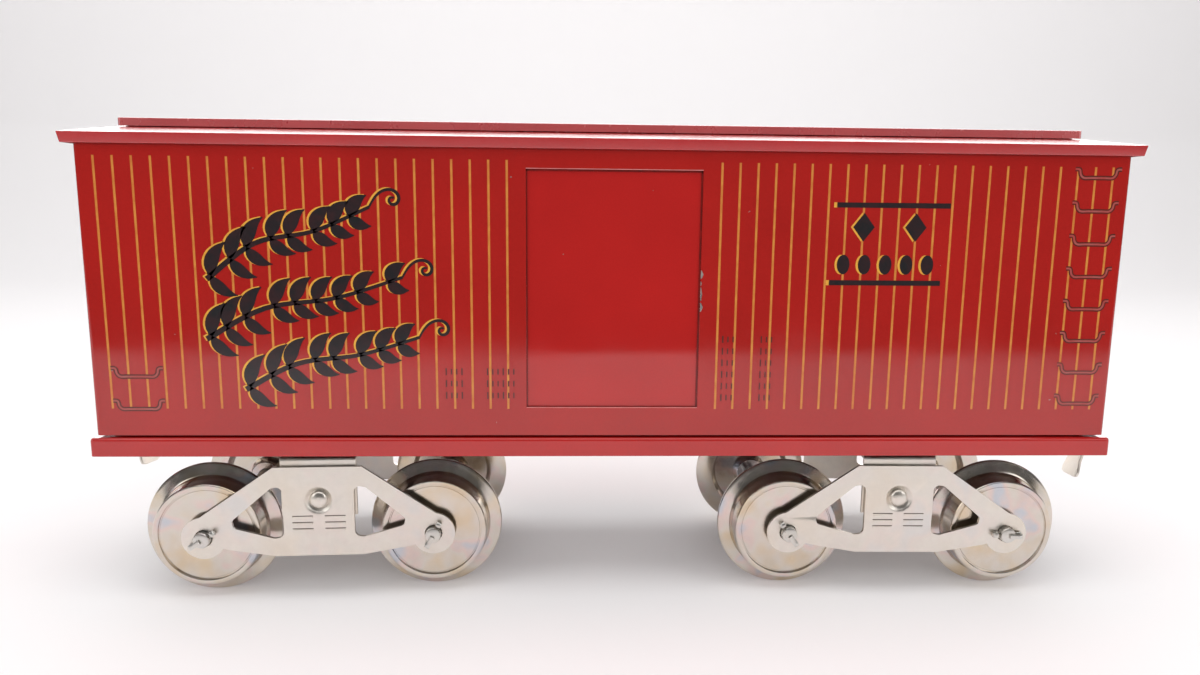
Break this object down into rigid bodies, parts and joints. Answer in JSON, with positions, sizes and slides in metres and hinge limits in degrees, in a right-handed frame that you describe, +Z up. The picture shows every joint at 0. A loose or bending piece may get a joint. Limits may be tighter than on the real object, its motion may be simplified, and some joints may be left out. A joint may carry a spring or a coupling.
{
  "type": "toy railway box car",
  "caption": "Toy box car of folded red tin with sliding doors, swivelling trucks of pressed nickel frames and flanged wheels, and drop-hook couplers.",
  "frame": {"origin": "on the track surface under the middle of the car", "axes": "+X along the car towards end A, +Y towards the far side, +Z up"},
  "size_m": [0.3365, 0.0814, 0.1464],
  "materials": {
    "side_red": "glossy lithographed red enamel with ochre pinstripes",
    "door_red": "glossy red enamel",
    "roof_red": "glossy red enamel",
    "sill_red": "glossy red enamel",
    "truck_nickel": "satin nickel plate on pressed steel",
    "wheel_nickel": "nickel plate with faint heat tints",
    "zinc_steel": "bright zinc-plated steel, slightly dull"
  },
  "bodies": {
    "car_body": {"floor_pan": "sill_red", "roof": "roof_red", "roofwalk": "roof_red", "side_sheet_near": "side_red", "side_sheet_far": "side_red", "door_guide_top_near": "side_red", "door_guide_top_far": "side_red", "door_guide_bottom_near": "side_red", "door_guide_bottom_far": "side_red", "end_panel_A": "side_red", "end_panel_B": "side_red", "kingpin_A": "zinc_steel", "kingpin_B": "zinc_steel", "king_spacer_A": "zinc_steel", "king_spacer_B": "zinc_steel"},
    "door_near": {"door_near": "door_red"},
    "door_far": {"door_far": "door_red"},
    "truck_A": {"bolster_A": "truck_nickel", "side_frame_A_L": "truck_nickel", "side_frame_A_R": "truck_nickel", "frame_rivet_A_L": "zinc_steel", "frame_rivet_A_R": "zinc_steel", "coupler_rivet_A": "zinc_steel"},
    "coupler_A": {"coupler_A": "truck_nickel"},
    "wheelset_A1": {"axle_A1": "zinc_steel", "wheel_A1_L": "wheel_nickel", "wheel_A1_R": "wheel_nickel", "cotter_A1_L": "zinc_steel", "cotter_A1_R": "zinc_steel"},
    "wheelset_A2": {"axle_A2": "zinc_steel", "wheel_A2_L": "wheel_nickel", "wheel_A2_R": "wheel_nickel", "cotter_A2_L": "zinc_steel", "cotter_A2_R": "zinc_steel"},
    "truck_B": {"bolster_B": "truck_nickel", "side_frame_B_L": "truck_nickel", "side_frame_B_R": "truck_nickel", "frame_rivet_B_L": "zinc_steel", "frame_rivet_B_R": "zinc_steel", "coupler_rivet_B": "zinc_steel"},
    "coupler_B": {"coupler_B": "truck_nickel"},
    "wheelset_B1": {"axle_B1": "zinc_steel", "wheel_B1_L": "wheel_nickel", "wheel_B1_R": "wheel_nickel", "cotter_B1_L": "zinc_steel", "cotter_B1_R": "zinc_steel"},
    "wheelset_B2": {"axle_B2": "zinc_steel", "wheel_B2_L": "wheel_nickel", "wheel_B2_R": "wheel_nickel", "cotter_B2_L": "zinc_steel", "cotter_B2_R": "zinc_steel"}
  },
  "joints": [
    {"name": "door_near_slide", "type": "slide", "parent": "car_body", "child": "door_near", "axis": [-1, 0, 0], "range_m": [0, 0.052]},
    {"name": "door_far_slide", "type": "slide", "parent": "car_body", "child": "door_far", "axis": [1, 0, 0], "range_m": [0, 0.052]},
    {"name": "truck_A_swivel", "type": "hinge", "parent": "car_body", "child": "truck_A", "pos_m": [0.0899, 0, 0.045], "axis": [0, 0, 1], "range_deg": [-16.8, 19.2]},
    {"name": "coupler_A_swing", "type": "hinge", "parent": "truck_A", "child": "coupler_A", "pos_m": [0.0974, -0.00016, 0.043], "axis": [0, 0, 1], "range_deg": [-21.2, 18.8]},
    {"name": "wheelset_A1_roll", "type": "hinge", "parent": "truck_A", "child": "wheelset_A1", "pos_m": [0.12389, -0.00071, 0.02045], "axis": [0.0209, 0.9998, 0], "continuous": true},
    {"name": "wheelset_A2_roll", "type": "hinge", "parent": "truck_A", "child": "wheelset_A2", "pos_m": [0.05591, 0.00071, 0.02045], "axis": [0.0209, 0.9998, 0], "continuous": true},
    {"name": "truck_B_swivel", "type": "hinge", "parent": "car_body", "child": "truck_B", "pos_m": [-0.0899, 0, 0.045], "axis": [0, 0, 1], "range_deg": [-20.7, 15.3]},
    {"name": "coupler_B_swing", "type": "hinge", "parent": "truck_B", "child": "coupler_B", "pos_m": [-0.09739, -0.00035, 0.043], "axis": [0, 0, 1], "range_deg": [-3.3, 36.7]},
    {"name": "wheelset_B1_roll", "type": "hinge", "parent": "truck_B", "child": "wheelset_B1", "pos_m": [-0.12386, -0.0016, 0.02045], "axis": [-0.0471, 0.9989, 0], "continuous": true},
    {"name": "wheelset_B2_roll", "type": "hinge", "parent": "truck_B", "child": "wheelset_B2", "pos_m": [-0.05594, 0.0016, 0.02045], "axis": [-0.0471, 0.9989, 0], "continuous": true}
  ]
}
